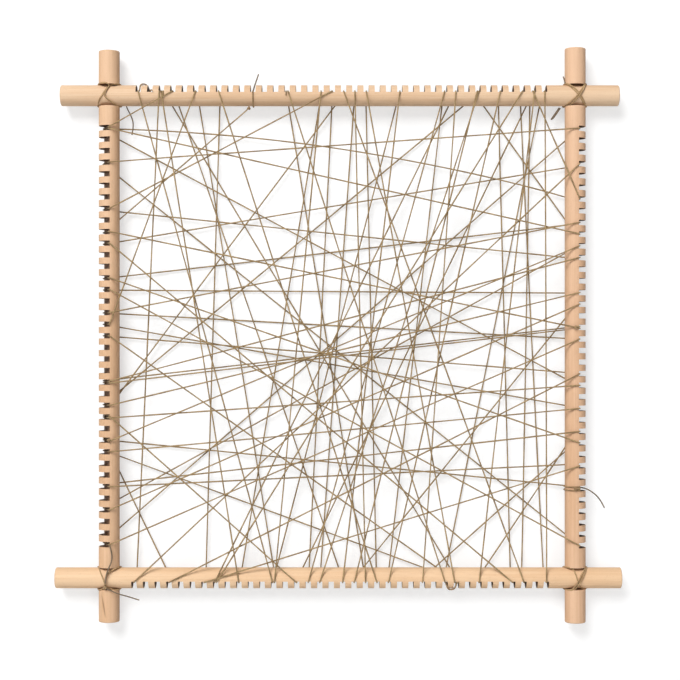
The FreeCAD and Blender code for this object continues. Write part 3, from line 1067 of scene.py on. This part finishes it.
def corner_lashings(frame: Frame) -> list[Lashing]:
    """Lays out the four corner lashings, each as it was wound.

    Args:
        frame: The frame that they tie.

    Returns:
        The lashings.
    """
    top_left = (
        ((9.9, 9.9), (6.4, 9.5), (2.6, 9.0), (-0.8, 5.6), (-3.0, 2.0), (-5.4, -1.6), (-8.0, -5.6),
         (-9.9, -9.9)),
        ((-9.9, 9.9), (-6.0, 9.9), (-1.5, 9.9), (1.4, 8.6), (-0.2, 5.4), (-2.0, 2.4), (-2.9, -0.4),
         (-1.6, -3.0), (0.9, -4.9), (3.7, -6.8), (6.4, -8.7), (9.9, -9.9)),
    )
    top_right = (
        ((-9.9, 9.9), (-7.6, 9.8), (-3.0, 7.2), (1.3, 2.4), (4.9, -2.9), (7.3, -7.3), (9.9, -9.9)),
        ((9.9, 9.9), (7.9, 9.6), (5.8, 7.0), (2.9, 2.1), (-1.5, -3.6), (-6.4, -7.3), (-9.9, -9.9)),
        ((-9.9, 9.9), (-7.2, 8.6), (-3.4, 5.3), (0.0, 1.3), (3.9, -3.6), (6.4, -7.9), (9.9, -9.9)),
        ((9.9, 9.9), (8.4, 9.0), (6.6, 6.0), (4.2, 1.5), (-0.2, -4.4), (-4.4, -8.5), (-9.9, -9.9)),
    )
    bottom_left = (
        ((-9.9, 9.9), (-8.3, 9.0), (-5.9, 4.8), (-3.7, 0.5), (-2.5, -4.0), (-1.9, -7.0), (1.6, -8.4),
         (5.4, -9.6), (9.9, -9.9)),
        ((9.9, 9.9), (6.4, 9.4), (1.4, 6.6), (-1.5, 3.0), (-2.0, -2.0), (-2.2, -7.0), (-4.8, -8.6),
         (-7.4, -9.5), (-9.9, -9.9)),
    )
    bottom_right = (
        ((-9.9, 9.9), (-5.6, 9.9), (-2.6, 8.6), (-0.6, 4.2), (0.6, -0.6), (2.2, -4.8), (4.6, -8.4),
         (9.9, -9.9)),
        ((9.9, 9.9), (7.8, 9.3), (5.0, 5.8), (2.6, 1.2), (0.4, -3.2), (-1.4, -6.8), (-5.0, -9.5),
         (-9.9, -9.9)),
        ((9.9, 9.9), (8.8, 8.6), (6.4, 4.4), (4.0, -0.2), (2.0, -4.4), (0.2, -7.8), (-4.4, -9.8),
         (-9.9, -9.9)),
    )
    return [
        Lashing("top_left_lashing", frame.crossing("T", "L"), 20, top_left, (0,)),
        Lashing("top_right_lashing", frame.crossing("T", "R"), 21, top_right, (0, 2)),
        Lashing("bottom_left_lashing", frame.crossing("B", "L"), 22, bottom_left, (0,)),
        Lashing("bottom_right_lashing", frame.crossing("B", "R"), 23, bottom_right, (0,)),
    ]


@dataclass
class Knots:
    """The small knots of the web and of the lower left lashing."""

    frame: Frame
    size: float = 3.4
    twine: float = TWINE
    points: int = 24
    web: tuple[str, ...] = ("T1b", "T3b", "T14b", "L23b", "L26b", "L28f", "R18f", "R32f")

    def trefoil(self, centre: Vector, turn: Matrix) -> list[Vector]:
        """A small tight knot's closed line.

        Args:
            centre: The knot's middle.
            turn: How the knot is turned.

        Returns:
            Its control points.
        """
        made = []
        scale = (self.size - self.twine) / 2 / 3.0
        for step in range(self.points):
            t = step / self.points * math.tau
            place = Vector((math.sin(t) + 2 * math.sin(2 * t), -math.sin(3 * t) * 1.5,
                            math.cos(t) - 2 * math.cos(2 * t)))
            made.append(centre + turn @ place * scale)
        return made

    def tie(self, spinner: Spinner, node: str, seed: int) -> None:
        """Makes the knot that stands for a CAD knot.

        Args:
            spinner: What makes the twine.
            node: The CAD knot's name.
            seed: Seeds how it is turned.
        """
        dice = random.Random(seed)
        low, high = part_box(node)
        centre = (Vector(low) + Vector(high)) / 2 / MM
        spin = Matrix.Rotation(dice.uniform(0, math.tau), 3, "Y")
        turn = spin @ Matrix.Rotation(dice.uniform(-0.6, 0.6), 3, "X")
        line = self.trefoil(centre, turn)
        piece = spinner.tube(f"{node}_tied", [line], seed, Slot.KNOT, closed=True)
        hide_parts(node)

    def build(self, spinner: Spinner) -> None:
        """Ties every knot.

        Args:
            spinner: What makes the twine.
        """
        names = [f"{self.frame.dowels[text[0]].name}_knot_{text[1:-1]}" for text in self.web]
        for seed, node in enumerate([*names, "top_bar_low_knot", "bottom_left_lashing_knot"], start=40):
            self.tie(spinner, node, seed)


@dataclass
class Trimmings:
    """The hitches, the loose loops over single teeth, and the short stiff ends."""

    frame: Frame
    web: Web
    twine: float = TWINE
    spread: float = 2.9

    def hitch(self, spinner: Spinner, letter: str, number: int, turns: int, seed: int) -> None:
        """Makes turns of twine through a slot and round the inner side of the dowel.

        Args:
            spinner: What makes the twine.
            letter: The dowel.
            number: The slot.
            turns: How many turns.
            seed: Seeds the changes of thickness.
        """
        dowel = self.frame.dowels[letter]
        face, floor = self.web.on_face, self.web.on_floor
        loops = []
        for turn in range(turns):
            s = dowel.slot(number) + (turn - (turns - 1) / 2) * self.spread
            section = [(floor, -face * 0.55), (floor + 0.3, -face + 0.9), (floor - 0.6, -face),
                       (-2.5, -face), (-6.2, -7.5), (-9.2, -3.4), (-9.9, 0.0)]
            whole = section + [(out, -back) for out, back in reversed(section[:-1])]
            loops.append([dowel.point(s + 0.12 * math.sin(k * 2.1 + turn), out, back)
                          for k, (out, back) in enumerate(whole)])
        piece = spinner.tube(f"{dowel.name}_hitch_tied", loops, seed, Slot.KNOT, 4, closed=True)
        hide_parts(f"{dowel.name}_hitch")

    def tooth_loop(self, spinner: Spinner, letter: str, number: int,
                   routes: tuple[tuple[tuple[float, ...], ...], ...], seed: int) -> None:
        """Makes the loose loop over the tooth after a slot.

        Args:
            spinner: What makes the twine.
            letter: The dowel.
            number: The slot before the tooth.
            routes: Lines of (from the slot's middle, out, back).
            seed: Seeds the changes of thickness.
        """
        dowel = self.frame.dowels[letter]
        s = dowel.slot(number)
        lines = [[dowel.point(s + along, out, back) for along, out, back in route] for route in routes]
        piece = spinner.tube(f"{dowel.name}_tooth_loop_laid", lines, seed, Slot.KNOT, 5)
        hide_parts(f"{dowel.name}_tooth_loop")

    def ends(self, spinner: Spinner) -> None:
        """Makes the short stiff ends and the strand that runs down to the lower left lashing.

        Args:
            spinner: What makes the twine.
        """
        top, left = self.frame.dowels["T"], self.frame.dowels["L"]
        floor = self.web.on_floor
        slot_front = top.point(top.slot(11), floor + self.twine, -2.0)
        corner, radius = self.frame.crossing("T", "R"), self.frame.radius
        above = corner + Vector((-radius, -2.0, radius + self.twine))
        below = corner + Vector((-radius - 4 * self.twine, 2.0, -radius - self.twine))
        last = left.turned(left.slot(37), floor, -self.web.on_face)
        sets = {
            "top_bar_tail": [[(0, 0, 0), (0.8, -0.3, 3.4), (2.4, -0.2, 8.0), (4.6, 0.4, 14.6)]],
            "top_right_lashing_ends": [[(0, 0, 0), (-0.3, 0.4, 3.0), (-1.6, 0.6, 6.4)],
                                       [(0, 0, 0), (-3.4, 0.8, -5.0), (-7.0, 1.0, -10.2)],
                                       [(0.8, 0.3, -0.3), (-2.6, 0.2, -5.6), (-6.0, 0.4, -9.9)]],
            "bottom_left_lashing_lead": [[(0, 0, 0), (2.2, -1.3, -6.0), (2.4, -1.3, -13.6),
                                          (-0.6, -1.6, -20.5), (-3.0, -1.7, -27.0), (-3.4, -1.6, -33.0)]],
        }
        starts = {"top_bar_tail": [slot_front], "top_right_lashing_ends": [above, below, below],
                  "bottom_left_lashing_lead": [last]}
        for seed, (node, routes) in enumerate(sets.items(), start=70):
            pairs = zip(starts[node], routes)
            lines = [[start + Vector(step) for step in route] for start, route in pairs]
            piece = spinner.tube(f"{node}_laid", lines, seed, Slot.TAIL, 6)
            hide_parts(node)

    def build(self, spinner: Spinner) -> None:
        """Makes every trimming.

        Args:
            spinner: What makes the twine.
        """
        self.hitch(spinner, "T", 11, 1, 60)
        self.hitch(spinner, "R", 32, 2, 61)
        self.tooth_loop(spinner, "T", 1, (
            ((0.9, 2.9, -7.5), (1.2, 5.0, -7.0), (1.4, 7.8, -5.4), (2.6, 9.6, -3.4), (4.6, 10.2, -0.6),
             (6.4, 9.4, 3.4), (7.6, 6.6, 6.2), (8.6, 3.4, 6.4), (9.4, 2.9, 3.0), (9.8, 3.0, -3.0),
             (10.6, 3.9, -8.2), (12.2, 3.2, -10.6)),), 62)
        self.tooth_loop(spinner, "B", 28, (
            ((0.6, 2.9, -7.0), (1.0, 5.4, -8.0), (2.4, 8.2, -5.8), (4.4, 9.7, -3.4), (6.8, 9.8, -3.2),
             (8.6, 8.2, -5.4), (9.4, 5.2, -8.0), (9.5, 2.9, -7.0)),
            ((0.9, 2.9, -5.6), (1.2, 6.2, -7.2), (3.2, 9.5, -3.4), (5.2, 9.9, -2.0), (7.4, 9.0, -4.6),
             (9.0, 6.6, -7.4), (10.0, 3.4, -8.0), (9.9, 2.9, -5.6))), 63)
        self.ends(spinner)


@dataclass
class FreeTails:
    """The three free ends that are long enough to hang: each one's length and its line, in metres."""

    twine: float = TWINE
    routes: dict[str, tuple[float, tuple[tuple[float, ...], ...]]] = field(default_factory=lambda: {
        "right_upright_tail": (0.0306, (
            (0.20545, -0.00100, -0.33074), (0.20985, -0.00420, -0.33094), (0.21565, -0.00560, -0.33394),
            (0.22065, -0.00520, -0.33814), (0.22435, -0.00420, -0.34314), (0.22705, -0.00340, -0.34834))),
        "bottom_left_lashing_tail": (0.0307, (
            (-0.20310, -0.01080, -0.41695), (-0.19790, -0.01140, -0.41925), (-0.19210, -0.00960, -0.42215),
            (-0.18640, -0.00720, -0.42405), (-0.18070, -0.00560, -0.42615), (-0.17540, -0.00500, -0.42795))),
        "top_left_lashing_tail": (0.0316, (
            (-0.19020, 0.01025, 0.00570), (-0.18830, 0.00965, -0.00020), (-0.18520, 0.00865, -0.00560),
            (-0.18270, 0.00755, -0.01150), (-0.18230, 0.00725, -0.01790), (-0.18360, 0.00785, -0.02400))),
    })

    def build(self, spinner: Spinner) -> None:
        """Makes each free end as a cord of its real length.

        Args:
            spinner: What makes the twine.
        """
        for seed, (node, (length, points)) in enumerate(self.routes.items(), start=80):
            route = [Vector(point) / MM for point in points]
            piece = spinner.line(f"{node}_free", [route], seed, 8, self.twine / 2)
            # The free ends take the same darkened twine, with painted shade.
            finish = Twine(f"natural_twine_{node}", *SHADED_TAIL_COLOURS, reach=length)
            piece.data.materials.append(finish.material(spinner.groups))
            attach(piece, BODY)
            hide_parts(node)
            LOG.info("%s: free end of %.1f mm", node, length / MM)


# ---- Studio --------------------------------------------------------------------------------------
@dataclass(frozen=True)
class Lamp:
    """A soft square light: its place from the loom's middle and its side in metres, and its watts."""

    name: str
    place: tuple[float, float, float]
    size: float
    power: float

    def build(self, centre: Vector) -> None:
        """Adds the light.

        Args:
            centre: The loom's middle, in metres, which the light points at.
        """
        data = bpy.data.lights.new(self.name, "AREA")
        data.shape = "SQUARE"
        data.size = self.size
        data.energy = self.power
        made = link(self.name, data)
        made.location = centre + Vector(self.place)
        made.rotation_euler = (-Vector(self.place)).to_track_quat("-Z", "Y").to_euler()


@dataclass
class Studio:
    """A white wall close behind the loom, a pale floor far below it, soft lights and the camera."""

    distance: float = 1300.0
    seen: float = 590.3
    aim: tuple[float, float] = (-1.9, -203.0)
    sensor: float = 36.0
    wall_gap: float = 13.2
    wall_shade: float = 0.50
    wall_lift: float = 0.56
    floor_place: tuple[float, float, float] = (0, -3.9, -1.5)
    floor_shade: float = 0.85
    backdrop: float = 8.0
    sky: float = 0.17
    lamps: tuple[Lamp, ...] = (
        Lamp("key", (-1.5, -3.3, 2.75), 2.3, 203.0),
        Lamp("fill", (0.9, -2.2, -0.3), 1.4, 7.0),
        Lamp("rear", (0.9, 1.9, 1.2), 1.4, 26.0),
    )

    def camera(self) -> None:
        """Sets up the camera, level and straight in front of the loom."""
        data = bpy.data.cameras.new("camera")
        data.sensor_width = self.sensor
        data.lens = self.sensor * self.distance / self.seen
        data.clip_end = 50.0
        made = link("camera", data)
        made.location = Vector((self.aim[0], -self.distance, self.aim[1])) * MM
        made.rotation_euler = (math.pi / 2, 0.0, 0.0)
        bpy.context.scene.camera = made

    def sheet(self, name: str, place: Vector, turn: Matrix, shade: float, lift: float) -> None:
        """Makes a flat backdrop that shows only from its front, a little brighter than it is.

        Args:
            name: The backdrop's name.
            place: Its middle, in metres.
            turn: How it is turned.
            shade: How light it is, from 0 to 1.
            lift: How much light is added to what is seen of it.
        """
        shape = bmesh.new()
        bmesh.ops.create_grid(shape, x_segments=1, y_segments=1, size=self.backdrop / 2,
                              matrix=Matrix.Translation(place) @ turn.to_4x4())
        mesh = bpy.data.meshes.new(name)
        shape.to_mesh(mesh)
        shape.free()
        made = link(name, mesh)
        material, graph, shader = new_material(name)
        shader.inputs["Base Color"].default_value = (shade, shade, shade, 1.0)
        shader.inputs["Roughness"].default_value = 0.95
        shader.inputs["Specular IOR Level"].default_value = 0.0
        glow = graph.math("MULTIPLY", graph.node("ShaderNodeLightPath").outputs["Is Camera Ray"], lift)
        shader.inputs["Emission Color"].default_value = (1.0, 1.0, 1.0, 1.0)
        graph.feed(shader.inputs["Emission Strength"], glow)
        both = graph.node("ShaderNodeMixShader")
        graph.feed(both.inputs[0], graph.node("ShaderNodeNewGeometry").outputs["Backfacing"])
        graph.feed(both.inputs[1], shader.outputs[0])
        graph.feed(both.inputs[2], graph.node("ShaderNodeBsdfTransparent").outputs[0])
        graph.feed(material.node_tree.nodes["Material Output"].inputs["Surface"], both.outputs[0])
        mesh.materials.append(material)

    def build(self) -> None:
        """Sets the wall, the floor, the lights and the world."""
        centre = Vector((self.aim[0], 0.0, self.aim[1])) * MM
        self.sheet("wall", centre + Vector((0, self.wall_gap * MM, 0)),
                   Matrix.Rotation(math.pi / 2, 3, "X"), self.wall_shade, self.wall_lift)
        self.sheet("floor", Vector(self.floor_place), Matrix.Identity(3), self.floor_shade, 0.0)
        for lamp in self.lamps:
            lamp.build(centre)
        world = bpy.data.worlds.new("world")
        world.use_nodes = True
        background = world.node_tree.nodes["Background"]
        background.inputs["Color"].default_value = (1.0, 1.0, 1.0, 1.0)
        background.inputs["Strength"].default_value = self.sky
        bpy.context.scene.world = world
        bpy.context.scene.view_settings.view_transform = "Standard"
        bpy.context.scene.view_settings.look = "None"


def main() -> None:
    """Builds the camera, the twine and the wood's finish, and reports each piece."""
    logging.basicConfig(level=logging.INFO, format="%(name)s: %(message)s", force=True)
    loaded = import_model()
    studio = Studio()
    studio.camera()
    groups = Groups()
    spinner = Spinner(groups)
    frame = Frame()
    web = Web(frame)
    FreeTails().build(spinner)
    frame.dress(groups, loaded["nodes"])
    web.build(spinner)
    for lashing in corner_lashings(frame):
        lashing.build(spinner)
    Knots(frame).build(spinner)
    Trimmings(frame, web).build(spinner)
    studio.build()


if __name__ == "__main__":
    main()
